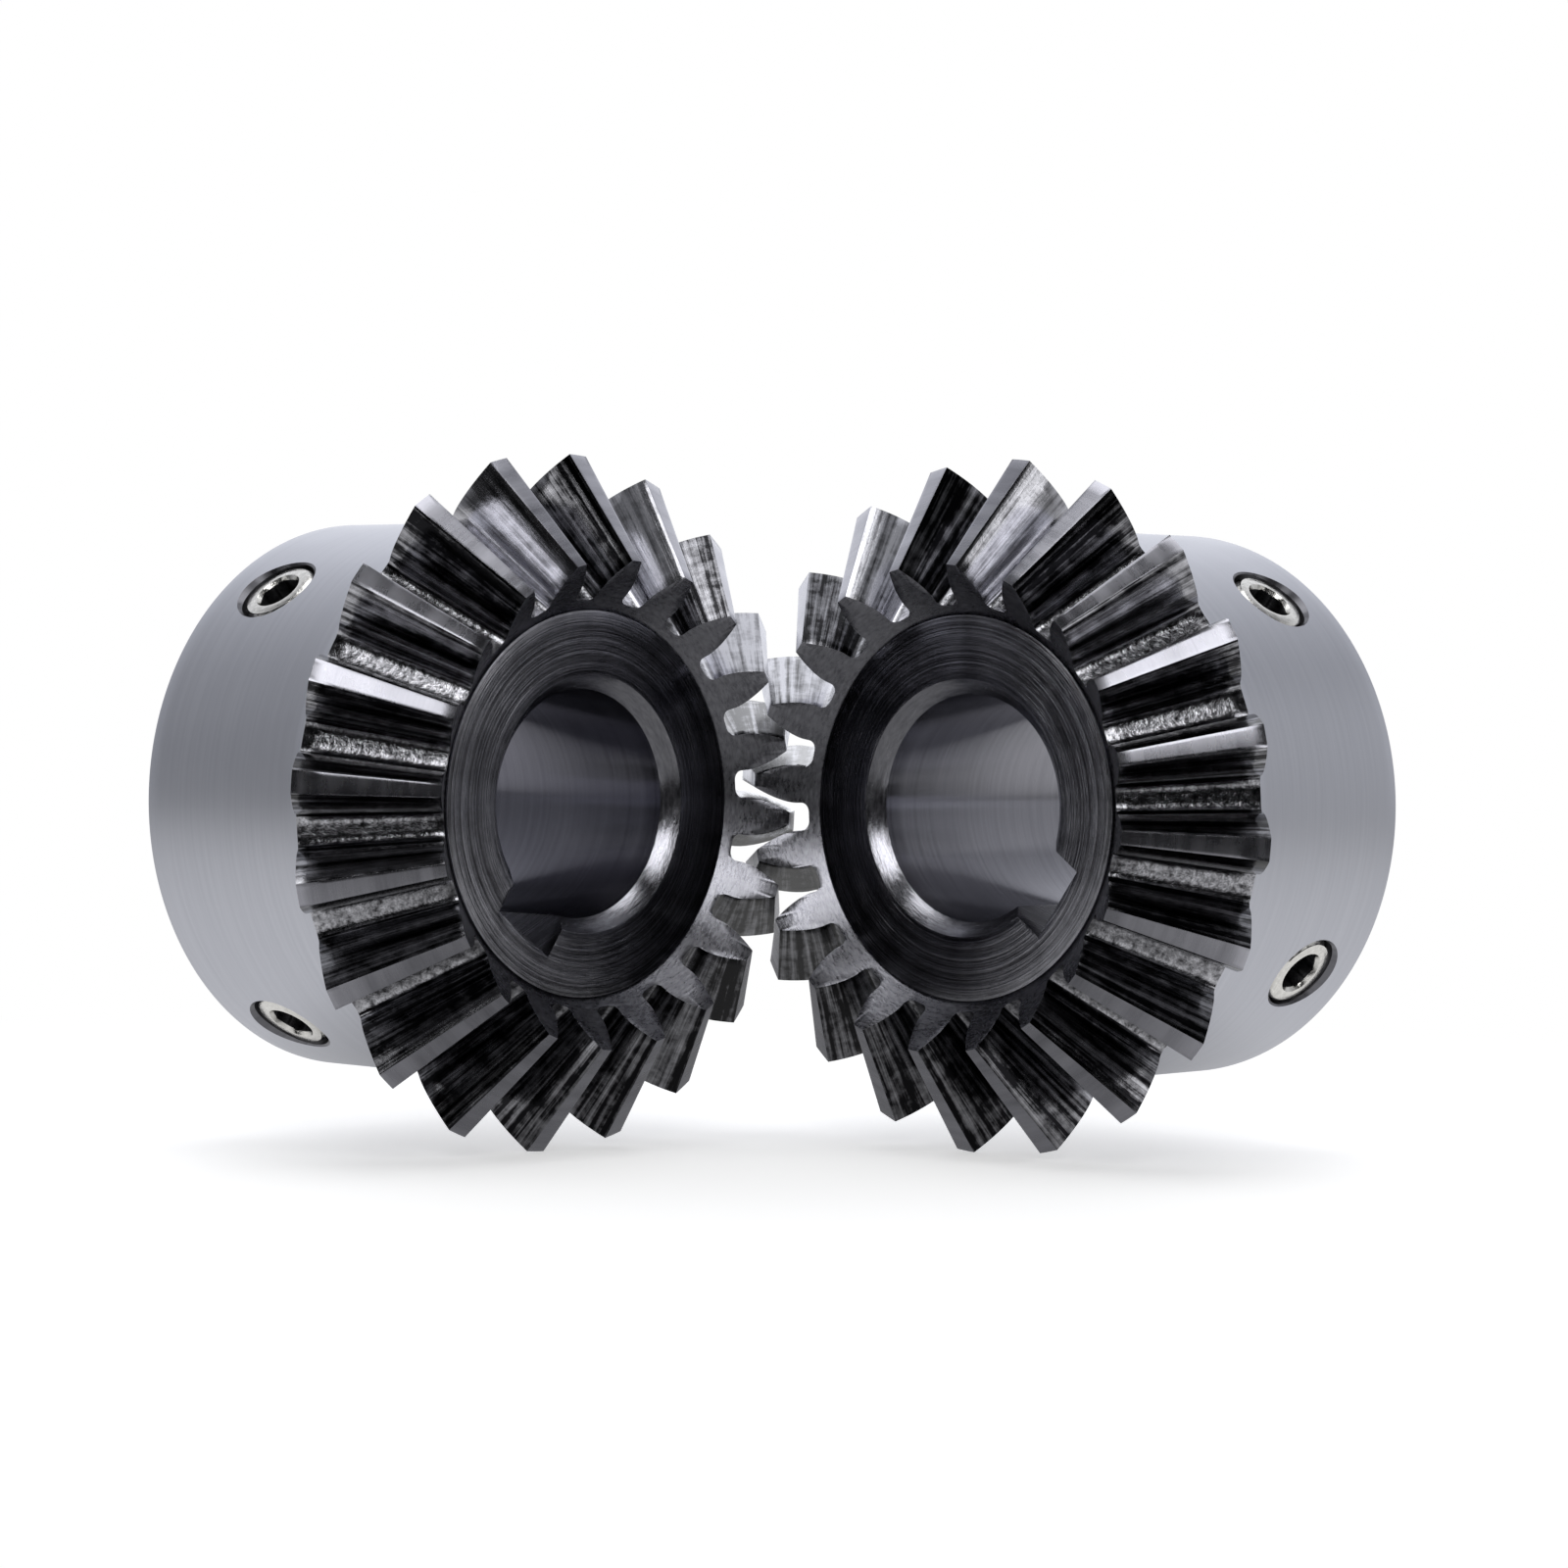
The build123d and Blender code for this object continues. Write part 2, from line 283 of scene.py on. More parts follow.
class KeyedColumns:
    """The grid's columns around the bore, nudged so that four of them run along the keyway."""

    REACH = math.radians(60.0)

    def __init__(self, angles, key_angle):
        turned = angles - key_angle
        self.relative = (turned + math.pi) % (2 * math.pi) - math.pi
        self.offset = turned - self.relative + key_angle
        corner = math.atan(KEYWAY_HALF_WIDTH / KEYWAY_BOTTOM)
        start = math.asin(KEYWAY_HALF_WIDTH / BORE_RADIUS)
        wanted = (-start, -corner, corner, start)
        self.columns = [int(np.argmin(np.abs(self.relative - angle))) for angle in wanted]

    def slot_columns(self, column_count):
        """The columns of faces between the keyway's two edges."""
        width = (self.columns[-1] - self.columns[0]) % column_count
        return [(self.columns[0] + step) % column_count for step in range(width)]

    def row(self, mouth_radius):
        """Radius and angle of the bore's outline in every column."""
        corner = math.atan(KEYWAY_HALF_WIDTH / KEYWAY_BOTTOM)
        start = math.asin(KEYWAY_HALF_WIDTH / mouth_radius)
        source = [-self.REACH, *self.relative[self.columns], self.REACH]
        target = [-self.REACH, -start, -corner, corner, start, self.REACH]
        inside = np.abs(self.relative) < self.REACH
        moved = np.where(inside, np.interp(self.relative, source, target), self.relative)
        return keyway_radius(moved, mouth_radius), moved + self.offset


# ---------------------------------------------------------------- gear mesh

BANDS = ("flank", "root", "land", "toe", "cone", "hub", "front", "mouth", "bore", "keyway", "back",
         "edge", "hole")


class Grid:
    """Rows of points around a gear, closed both ways, with a finish for each band of faces."""

    def __init__(self):
        self.rows = []
        self.bands = []
        self.row_weights = []

    def add(self, radius, angle, station, band, weight=0.0):
        station = np.broadcast_to(np.asarray(station, float), radius.shape)
        self.rows.append((radius, angle, station))
        self.bands.append(BANDS.index(band))
        self.row_weights.append(weight)

    def add_between(self, start, end, steps, band):
        """Rows between two (radius, angle, station) triples, leaving both ends out."""
        for step in range(1, steps):
            share = step / steps
            mixed = [np.asarray(a, float) + (np.asarray(b, float) - a) * share
                     for a, b in zip(start, end)]
            self.add(*mixed, band)


# Edge rounding: the widest in millimetres, and the share of it that each kind of edge gets
WIDEST_ROUND = 0.32
HEEL_TIP_ROUND = 1.0
CUT_EDGE_ROUND = 0.2
TURNED_EDGE_ROUND = 0.22
ROUND_SEGMENTS = 2

# Points closer than this, in metres, are one
WELD_DISTANCE = 1e-6

# Faces that meet at less than this many degrees are shaded as one
GEAR_SMOOTHING = 28.0
SCREW_SMOOTHING = 35.0


def gear_grid(letter, key_angle):
    """The rows of one gear, round from the toe over the teeth, hub and bore to the toe again."""
    tooth_rows = half_tooth_rows()
    columns_in_half = len(tooth_rows[0][0]) - 1
    centres = math.radians(TOOTH_ANGLE[letter]) + HALF_STEP * (2 * np.arange(TEETH) + 1)
    centre = np.repeat(centres, 2 * columns_in_half)
    even = centre + whole_turn(np.linspace(0, HALF_STEP, columns_in_half + 1), True)
    grid = Grid()
    for number, (radius, angle, station) in enumerate(tooth_rows):
        row = (whole_turn(radius, False), centre + whole_turn(angle, True), whole_turn(station, False))
        on_rim = number in (0, TOOTH_ROWS)
        last = number == TOOTH_ROWS
        grid.add(*row, "cone" if last else "flank", CUT_EDGE_ROUND if on_rim else 0.0)
    toe_row, heel_row = grid.rows[0], grid.rows[-1]

    ones = np.ones(len(even))
    hub_start = HEEL_SUM - HUB_RADIUS
    hub_end = MOUNTING_DISTANCE - HUB_CHAMFER
    hub_row = (HUB_RADIUS * ones, even, hub_start * ones)
    grid.add_between(heel_row, hub_row, BACK_CONE_STEPS, "cone")
    grid.add(*hub_row, "hub", TURNED_EDGE_ROUND)
    hub_end_row = (HUB_RADIUS * ones, even, hub_end * ones)
    grid.add_between(hub_row, hub_end_row, HUB_STEPS, "hub")
    grid.add(*hub_end_row, "hub", TURNED_EDGE_ROUND)
    back_row = ((HUB_RADIUS - HUB_CHAMFER) * ones, even, MOUNTING_DISTANCE * ones)
    grid.add(*back_row, "back", TURNED_EDGE_ROUND)

    keyed = KeyedColumns(even, key_angle)
    front_station = TOE_SUM - FRONT_FACE_RADIUS - FRONT_FACE_STEP
    mouth = keyed.row(BORE_RADIUS + BORE_CHAMFER)
    wall = keyed.row(BORE_RADIUS)
    back_mouth = (*mouth, MOUNTING_DISTANCE * ones)
    grid.add_between(back_row, back_mouth, BACK_STEPS, "back")
    grid.add(*back_mouth, "mouth", CUT_EDGE_ROUND)
    back_wall = (*wall, (MOUNTING_DISTANCE - BORE_CHAMFER) * ones)
    front_wall = (*wall, (front_station + BORE_CHAMFER) * ones)
    grid.add(*back_wall, "bore", CUT_EDGE_ROUND)
    grid.add_between(back_wall, front_wall, BORE_STEPS, "bore")
    grid.add(*front_wall, "mouth", CUT_EDGE_ROUND)
    front_mouth = (*mouth, front_station * ones)
    grid.add(*front_mouth, "front", CUT_EDGE_ROUND)
    ring_row = (FRONT_FACE_RADIUS * ones, even, front_station * ones)
    grid.add_between(front_mouth, ring_row, FRONT_STEPS, "front")
    grid.add(*ring_row, "front", TURNED_EDGE_ROUND)
    step_row = (FRONT_FACE_RADIUS * ones, even, (front_station + FRONT_FACE_STEP) * ones)
    grid.add(*step_row, "toe")
    grid.add_between(step_row, toe_row, TOE_STEPS, "toe")
    return grid, keyed, columns_in_half


def grid_mesh(name, grid, keyed, columns_in_half):
    """The grid as a mesh in metres, with rounding weights on its sharp edges."""
    radius, angle, station = (np.array([row[part] for row in grid.rows]) for part in range(3))
    row_count, column_count = radius.shape
    points = np.stack((radius * np.cos(angle), radius * np.sin(angle), station), axis=-1) * MM
    index = np.arange(row_count * column_count).reshape(row_count, column_count)
    down = np.roll(index, -1, axis=0)
    faces = np.stack((index, np.roll(index, -1, 1), np.roll(down, -1, 1), down), axis=-1)
    mesh = bpy.data.meshes.new(name)
    mesh.from_pydata(points.reshape(-1, 3).tolist(), [], faces.reshape(-1, 4).tolist())

    place = np.arange(column_count) % (2 * columns_in_half) - columns_in_half
    space_half = columns_in_half - LAND_STEPS
    is_land = np.abs(place + 0.5) > space_half
    is_root = np.abs(place + 0.5) < FLOOR_STEPS + FILLET_STEPS / 2
    bands = np.repeat(np.array(grid.bands)[:, None], column_count, axis=1)
    bands[:TOOTH_ROWS] = np.where(is_land, BANDS.index("land"), bands[:TOOTH_ROWS])
    bands[:TOOTH_ROWS] = np.where(is_root, BANDS.index("root"), bands[:TOOTH_ROWS])
    keyed_rows = np.isin(bands[:, 0], (BANDS.index("mouth"), BANDS.index("bore")))
    in_slot = np.isin(np.arange(column_count), keyed.slot_columns(column_count))
    bands[np.ix_(keyed_rows, in_slot)] = BANDS.index("keyway")
    mesh.polygons.foreach_set("material_index", bands.reshape(-1).astype(np.int32))

    ends = np.zeros(len(mesh.edges) * 2, np.int32)
    mesh.edges.foreach_get("vertices", ends)
    ends = ends.reshape(-1, 2)
    edge_row, edge_column = ends // column_count, ends % column_count
    along_row = edge_row[:, 0] == edge_row[:, 1]
    row_weight = np.array(grid.row_weights)[edge_row[:, 0]]
    on_land = np.abs(place[edge_column]).min(axis=1) >= space_half
    heel_tip = along_row & (edge_row[:, 0] == TOOTH_ROWS) & on_land
    tip_edge = (np.abs(place[edge_column[:, 0]]) == space_half) & (edge_row.max(1) <= TOOTH_ROWS)
    keyway_rows = [number for number, band in enumerate(grid.bands) if BANDS[band] in ("mouth", "bore")]
    in_keyway = (edge_row.min(1) >= keyway_rows[0]) & (edge_row.max(1) <= keyway_rows[-1] + 1)
    key_edge = np.isin(edge_column[:, 0], keyed.columns) & in_keyway
    weight = np.where(along_row, row_weight, 0.0)
    weight = np.where(heel_tip, HEEL_TIP_ROUND, weight)
    weight = np.where(~along_row & (tip_edge | key_edge), CUT_EDGE_ROUND, weight)
    attribute = mesh.attributes.new("bevel_weight_edge", "FLOAT", "EDGE")
    attribute.data.foreach_set("value", weight.astype(np.float32))
    return mesh


def screw_angle(letter, joint_name):
    """Angle of a set screw's hole in its gear's frame, from the way its joint runs."""
    outwards = GEAR_AXES[letter].transposed() @ -Vector(JOINTS[joint_name]["axis"])
    return math.atan2(outwards.y, outwards.x)


def screw_station(letter, node):
    """Station of a set screw's hole in its gear's frame, from the CAD screw's box."""
    low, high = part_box(node)
    middle = GEAR_AXES[letter].transposed() @ ((low + high) / 2)
    return middle.z / MM - ASSEMBLY_GAP


def lathe(name, profile, segments):
    """A turned solid about Z from (radius, height) points in millimetres, open at neither end."""
    turns = np.linspace(0, 2 * math.pi, segments, endpoint=False)
    points = [(r * math.cos(t) * MM, r * math.sin(t) * MM, z * MM) for r, z in profile for t in turns]
    index = np.arange(len(points)).reshape(len(profile), segments)
    faces = [
        (int(index[row, column]), int(index[row, (column + 1) % segments]),
         int(index[row + 1, (column + 1) % segments]), int(index[row + 1, column]))
        for row in range(len(profile) - 1)
        for column in range(segments)
    ]
    faces.append(tuple(int(i) for i in index[0][::-1]))
    faces.append(tuple(int(i) for i in index[-1]))
    mesh = bpy.data.meshes.new(name)
    mesh.from_pydata(points, [], faces)
    return mesh


def hole_cutter(letter, node, angle):
    """The tool that opens one set screw's hole, from the bore to above the hub."""
    saddle = HUB_RADIUS - math.sqrt(HUB_RADIUS**2 - SCREW_MOUTH_RADIUS**2)
    mouth_depth = SCREW_MOUTH_RADIUS - SCREW_HOLE_RADIUS
    profile = [
        (SCREW_HOLE_RADIUS, HOLE_START),
        (SCREW_HOLE_RADIUS, HUB_RADIUS - saddle - mouth_depth),
        (SCREW_MOUTH_RADIUS + saddle + HOLE_CUTTER_ABOVE, HUB_RADIUS + HOLE_CUTTER_ABOVE),
    ]
    mesh = lathe("hole_cutter", profile, HOLE_SEGMENTS)
    mesh.polygons.foreach_set("material_index", [BANDS.index("hole")] * len(mesh.polygons))
    place = Matrix.Rotation(angle, 4, "Z")
    place = place @ Matrix.Translation((0, 0, screw_station(letter, node) * MM))
    place = place @ Matrix.Rotation(math.pi / 2, 4, "Y")
    mesh.transform(place)
    cutter = bpy.data.objects.new("hole_cutter", mesh)
    bpy.context.scene.collection.objects.link(cutter)
    return cutter


def settled(obj):
    """The object's modifiers worked into its mesh."""
    bpy.context.view_layer.update()
    graph = bpy.context.evaluated_depsgraph_get()
    final = bpy.data.meshes.new_from_object(obj.evaluated_get(graph))
    obj.modifiers.clear()
    obj.data = final
    return obj


def build_gear(letter, materials):
    """One whole gear: gridded teeth and body, rounded edges, then its two screw holes."""
    screws = {f"set_screw_{letter}_{kind}": screw_angle(letter, f"screw_{letter}_{kind}_travel")
              for kind in SCREW_LENGTHS}
    grid, keyed, columns_in_half = gear_grid(letter, screws[f"set_screw_{letter}_key"])
    mesh = grid_mesh(f"gear_{letter}_cut", grid, keyed, columns_in_half)
    finishes = [materials.get(f"{band}_{letter}") or materials[band] for band in BANDS]
    for finish in finishes:
        mesh.materials.append(finish)
    gear = bpy.data.objects.new(f"gear_{letter}_cut", mesh)
    bpy.context.scene.collection.objects.link(gear)
    rounding = gear.modifiers.new("rounding", "BEVEL")
    rounding.limit_method = "WEIGHT"
    rounding.width = WIDEST_ROUND * MM
    rounding.segments = ROUND_SEGMENTS
    rounding.material = BANDS.index("edge")
    settled(gear)
    cutters = [hole_cutter(letter, node, angle) for node, angle in screws.items()]
    for cutter in cutters:
        for finish in finishes:
            cutter.data.materials.append(finish)
        cut = gear.modifiers.new("hole", "BOOLEAN")
        cut.operation = "DIFFERENCE"
        cut.solver = "EXACT"
        cut.object = cutter
    settled(gear)
    for cutter in cutters:
        bpy.data.objects.remove(cutter)
    smooth_by_angle(gear.data, GEAR_SMOOTHING)
    weighted = gear.modifiers.new("weighted", "WEIGHTED_NORMAL")
    weighted.keep_sharp = True
    settled(gear)
    gear.matrix_world = gear_place(letter)
    return gear


def smooth_by_angle(mesh, degrees):
    """Smooth shading, with an edge sharp where its faces meet at more than an angle."""
    mesh.polygons.foreach_set("use_smooth", [True] * len(mesh.polygons))
    mesh.set_sharp_from_angle(angle=math.radians(degrees))


# ---------------------------------------------------------------- set screws


def build_screw(letter, kind, materials):
    """A set screw with a helical thread, a hexagon socket and a cup point."""
    length = SCREW_LENGTHS[kind]
    turns = np.linspace(0, 2 * math.pi, SCREW_SEGMENTS, endpoint=False)
    hexagon = SOCKET_APOTHEM / np.cos((turns % (math.pi / 3)) - math.pi / 6)
    lead_in = SOCKET_APOTHEM / math.cos(math.pi / 6) + SOCKET_LEAD_IN_RIM
    rows = []

    def ring(radius, height):
        rows.append((np.broadcast_to(radius, turns.shape), height))

    ring(0.0, -SOCKET_DEPTH - SOCKET_TIP_DEPTH)
    ring(hexagon * SOCKET_FLOOR_SHARE, -SOCKET_DEPTH)
    ring(hexagon, -SOCKET_DEPTH + SMALL_BREAK)
    ring(hexagon, -SOCKET_LEAD_IN - SMALL_BREAK)
    ring(np.maximum(hexagon, SOCKET_APOTHEM + SMALL_BREAK), -SOCKET_LEAD_IN)
    socket_rows = len(rows) - 1
    ring(lead_in, 0.0)
    ring(SCREW_TOP_RADIUS - SMALL_BREAK, 0.0)
    ring(SCREW_TOP_RADIUS, -TINY_BREAK)
    end_round = SCREW_RADIUS - SCREW_TOP_RADIUS
    point_radius = CUP_RADIUS + CUP_RIM
    for depth in np.linspace(0, length, int(length / SCREW_PITCH * THREAD_STEPS))[1:-1]:
        phase = (depth / SCREW_PITCH + turns / (2 * math.pi)) % 1.0
        wave = np.clip(np.abs(phase - 0.5) * THREAD_SLOPE - THREAD_CREST, 0, 1)
        thread = SCREW_RADIUS - THREAD_DEPTH * wave
        above = max(0.0, end_round - depth)
        end_cone = min(SCREW_TOP_RADIUS + math.sqrt(end_round**2 - above**2),
                       point_radius + length - depth)
        ring(np.minimum(thread, end_cone), -depth)
    ring(point_radius, -length)
    ring(CUP_RADIUS, -length + TINY_BREAK)
    ring(0.0, -length + CUP_DEPTH)

    points = [(r * math.cos(t) * MM, r * math.sin(t) * MM, height * MM)
              for radii, height in rows for r, t in zip(radii, turns)]
    index = np.arange(len(points)).reshape(len(rows), SCREW_SEGMENTS)
    beside = np.roll(index, -1, axis=1)
    faces = np.stack((index[:-1], index[1:], beside[1:], beside[:-1]), axis=-1).reshape(-1, 4)
    name = f"set_screw_{letter}_{kind}_threaded"
    mesh = bpy.data.meshes.new(name)
    mesh.from_pydata(points, [], faces.tolist())
    mesh.materials.append(materials["screw"])
    # The socket's faces take the near-black finish, painted shade in the hollow
    mesh.materials.append(materials["socket"])
    in_socket = np.repeat(np.arange(len(rows) - 1) < socket_rows, SCREW_SEGMENTS)
    mesh.polygons.foreach_set("material_index", in_socket.astype(np.int32))
    weld(mesh)
    smooth_by_angle(mesh, SCREW_SMOOTHING)
    screw = bpy.data.objects.new(name, mesh)
    bpy.context.scene.collection.objects.link(screw)
    node = f"set_screw_{letter}_{kind}"
    place = Matrix.Rotation(screw_angle(letter, f"screw_{letter}_{kind}_travel"), 4, "Z")
    outer_end = ((HUB_RADIUS - SCREW_RECESS) * MM, 0, screw_station(letter, node) * MM)
    place = place @ Matrix.Translation(outer_end) @ Matrix.Rotation(math.pi / 2, 4, "Y")
    screw.matrix_world = gear_place(letter) @ place
    return screw


def weld(mesh):
    """Joins points that coincide, where a ring closes to a single point."""
    work = bmesh.new()
    work.from_mesh(mesh)
    bmesh.ops.remove_doubles(work, verts=work.verts, dist=WELD_DISTANCE)
    bmesh.ops.recalc_face_normals(work, faces=work.faces)
    work.to_mesh(mesh)
    work.free()


# ---------------------------------------------------------------- materials

# How much of a flank's tone comes from the strokes and how much from stains
STROKE_SHARE = 0.7
FLANK_STAIN_SHARE = 0.3
FLANK_STAINS_PER_MM = 0.9
FLANK_STREAK_RANGE = (0.47, 0.67)

# How much of a flank's bumps is grit between the strokes
GRIT_SHARE = 0.35
GRIT_PER_MM = 5.0

# Painted highlight on every other flank, on one side of the gear (the upper side at rest): how much it adds, how
# sharply it ends, and how far round the gear it goes
PAINTED_HIGHLIGHT = 0.14
PAINTED_HIGHLIGHT_ENDS = (-0.3, 0.3)
PAINTED_HIGHLIGHT_LEAST = 0.1
HIGHLIT_SIDE_RANGE = (0.4, 0.8)
HIGHLIT_SIDE = {"a": math.radians(75.0), "b": math.radians(-75.0)}

# How much of a turned surface's tone comes from its tool marks and how much from stains
MARK_SHARE = 0.75
TURNED_STAIN_SHARE = 0.25
TURNED_STAINS_PER_MM = 0.35
TURNED_ROUGH_RANGE = (0.75, 1.25)

# How deep the nicks of a grainy surface are, and how many there are to a millimetre
NICK_DEPTH = 0.04
NICKS_PER_MM = 2.2

# Turns a reflection's long direction from round the axis to along it
QUARTER_TURN = 0.25

AXES = {"X": (1, 0, 0), "Y": (0, 1, 0), "Z": (0, 0, 1)}


class Sheet:
    """A metal node material being put together."""

    def __init__(self, name):
        self.material = bpy.data.materials.new(name)
        self.material.use_nodes = True
        self.tree = self.material.node_tree
        self.shader = self.tree.nodes["Principled BSDF"]
        self.shader.inputs["Metallic"].default_value = 1.0

    def node(self, kind, inputs, **settings):
        """A new node's first output. Inputs are values or other nodes' outputs."""
        made = self.tree.nodes.new(kind)
        for key, value in settings.items():
            setattr(made, key, value)
        for key, value in inputs.items():
            if isinstance(value, bpy.types.NodeSocket):
                self.tree.links.new(value, made.inputs[key])
            else:
                made.inputs[key].default_value = value
        return made.outputs[0]

    def place(self):
        """The point's place in its object, in millimetres."""
        coordinates = self.tree.nodes.new("ShaderNodeTexCoord")
        return self.node("ShaderNodeVectorMath",
                         {0: coordinates.outputs["Object"], 1: (1 / MM,) * 3}, operation="MULTIPLY")

    def vector(self, operation, first, second=None):
        inputs = {0: first} if second is None else {0: first, 1: second}
        made = self.node("ShaderNodeVectorMath", inputs, operation=operation)
        return made.node.outputs["Value" if operation in ("LENGTH", "DOT_PRODUCT") else "Vector"]

    def maths(self, operation, first, second=0.0):
        return self.node("ShaderNodeMath", {0: first, 1: second}, operation=operation)

    def scaled(self, vector, amount):
        made = self.node("ShaderNodeVectorMath", {0: vector, "Scale": amount}, operation="SCALE")
        return made.node.outputs["Vector"]

    def noise(self, vector, detail=3.0, roughness=0.55):
        return self.node("ShaderNodeTexNoise", {
            "Vector": vector, "Scale": 1.0, "Detail": detail, "Roughness": roughness})

    def between(self, value, low, high, source=(0.3, 0.7)):
        """The value carried from its source range to another, held at the ends."""
        return self.node("ShaderNodeMapRange", {
            "Value": value, "From Min": source[0], "From Max": source[1],
            "To Min": low, "To Max": high})

    def colour(self, value, low, high, source=(0.3, 0.7)):
        share = self.between(value, 0.0, 1.0, source)
        mixed = self.node("ShaderNodeMix", {}, data_type="RGBA").node
        self.tree.links.new(share, mixed.inputs["Factor"])
        for name, colour in (("A", low), ("B", high)):
            socket = [s for s in mixed.inputs if s.name == name and s.type == "RGBA"][0]
            socket.default_value = (*colour, 1.0)
        return [s for s in mixed.outputs if s.type == "RGBA"][0]

    def turned(self, axis, along, around):
        """Place on a turned surface, stretched round its axis, so noise of it makes tool marks."""
        place = self.place()
        across = self.vector("MULTIPLY", place, tuple(1 - abs(part) for part in axis))
        station = self.vector("DOT_PRODUCT", place, axis)
        meridian = self.maths("SUBTRACT", self.vector("LENGTH", across), station)
        stretched = self.scaled(axis, self.maths("MULTIPLY", meridian, along))
        return self.vector("ADD", self.scaled(across, around), stretched)

    def ruled(self, across, along):
        """Place on a tooth, stretched along the lines that run to the apex."""
        place = self.place()
        direction = self.scaled(self.vector("NORMALIZE", place), across)
        return self.vector("ADD", direction, self.scaled(place, along))

    def grain(self, axis, amount):
        """Reflections drawn out across tool marks that run round an axis."""
        tangent = self.tree.nodes.new("ShaderNodeTangent")
        tangent.direction_type = "RADIAL"
        tangent.axis = axis
        self.tree.links.new(tangent.outputs[0], self.shader.inputs["Tangent"])
        self.shader.inputs["Anisotropic"].default_value = amount
        self.shader.inputs["Anisotropic Rotation"].default_value = QUARTER_TURN

    def finish(self, colour, roughness, height, depth):
        """Connects the shader. The depth of the bumps is in millimetres."""
        bump = self.node("ShaderNodeBump", {"Height": height, "Distance": depth * MM})
        self.tree.links.new(colour, self.shader.inputs["Base Color"])
        self.tree.links.new(roughness, self.shader.inputs["Roughness"])
        self.tree.links.new(bump, self.shader.inputs["Normal"])
        return self.material


def turned_steel(name, dark, light, roughness, along=3.0, around=0.06, depth=0.004,
                 anisotropy=0.5, axis="Z", spread=0.2):
    """Steel with fine tool marks that run round an axis, and faint handling stains."""
    sheet = Sheet(name)
    marks = sheet.noise(sheet.turned(AXES[axis], along, around), detail=5.0, roughness=0.65)
    stain = sheet.noise(sheet.scaled(sheet.place(), TURNED_STAINS_PER_MM), detail=4.0)
    both = sheet.maths("ADD", sheet.maths("MULTIPLY", marks, MARK_SHARE),
                       sheet.maths("MULTIPLY", stain, TURNED_STAIN_SHARE))
    sheet.grain(axis, anisotropy)
    rough = sheet.between(sheet.maths("ADD", marks, stain), *roughness, source=TURNED_ROUGH_RANGE)
    shown = sheet.colour(both, dark, light, source=(0.5 - spread, 0.5 + spread))
    return sheet.finish(shown, rough, marks, depth)


def planed_steel(letter, dark, light, roughness, across=60.0, along=0.05, depth=0.014):
    """Steel cut in strokes along the tooth, with streaks that run to the apex.

    Every other flank on one side of the gear, the upper side at rest, has a painted highlight in its colour.
    """
    sheet = Sheet(f"flank_steel_{letter}")
    first_space = math.radians(TOOTH_ANGLE[letter]) - HALF_STEP
    strokes = sheet.noise(sheet.ruled(across, along), detail=4.0, roughness=0.65)
    grit = sheet.noise(sheet.scaled(sheet.place(), GRIT_PER_MM), detail=2.0)
    stain = sheet.noise(sheet.scaled(sheet.place(), FLANK_STAINS_PER_MM), detail=4.0, roughness=0.65)
    parts = sheet.tree.nodes.new("ShaderNodeSeparateXYZ")
    sheet.tree.links.new(sheet.place(), parts.inputs[0])
    around = sheet.maths("ARCTAN2", parts.outputs["Y"], parts.outputs["X"])
    # Painted highlight: every other flank is drawn lighter, on the gear's upper side at rest
    turned = sheet.maths("MULTIPLY", sheet.maths("SUBTRACT", around, first_space), TEETH / 2)
    painted_highlight = sheet.between(sheet.maths("COSINE", turned), 0.0, PAINTED_HIGHLIGHT, source=PAINTED_HIGHLIGHT_ENDS)
    from_highlit_side = sheet.maths("COSINE", sheet.maths("SUBTRACT", around, HIGHLIT_SIDE[letter]))
    highlit_side = sheet.between(from_highlit_side, PAINTED_HIGHLIGHT_LEAST, 1.0, source=HIGHLIT_SIDE_RANGE)
    mixed = sheet.maths("ADD", sheet.maths("MULTIPLY", strokes, STROKE_SHARE),
                        sheet.maths("MULTIPLY", stain, FLANK_STAIN_SHARE))
    both = sheet.maths("ADD", mixed, sheet.maths("MULTIPLY", painted_highlight, highlit_side))
    rough = sheet.between(strokes, *roughness)
    surface = sheet.maths("ADD", strokes, sheet.maths("MULTIPLY", grit, GRIT_SHARE))
    shown = sheet.colour(both, dark, light, source=FLANK_STREAK_RANGE)
    return sheet.finish(shown, rough, surface, depth)


def grainy_steel(name, dark, light, roughness):
    """Steel that is nicked and grainy all over: rounded edges, worn and drawn near white as a painted highlight,
    tooth roots, plated screws, and screw sockets drawn near black as painted shade.
    """
    sheet = Sheet(name)
    nicks = sheet.noise(sheet.scaled(sheet.place(), NICKS_PER_MM), detail=4.0, roughness=0.7)
    rough = sheet.between(nicks, *roughness)
    return sheet.finish(sheet.colour(nicks, dark, light), rough, nicks, NICK_DEPTH)


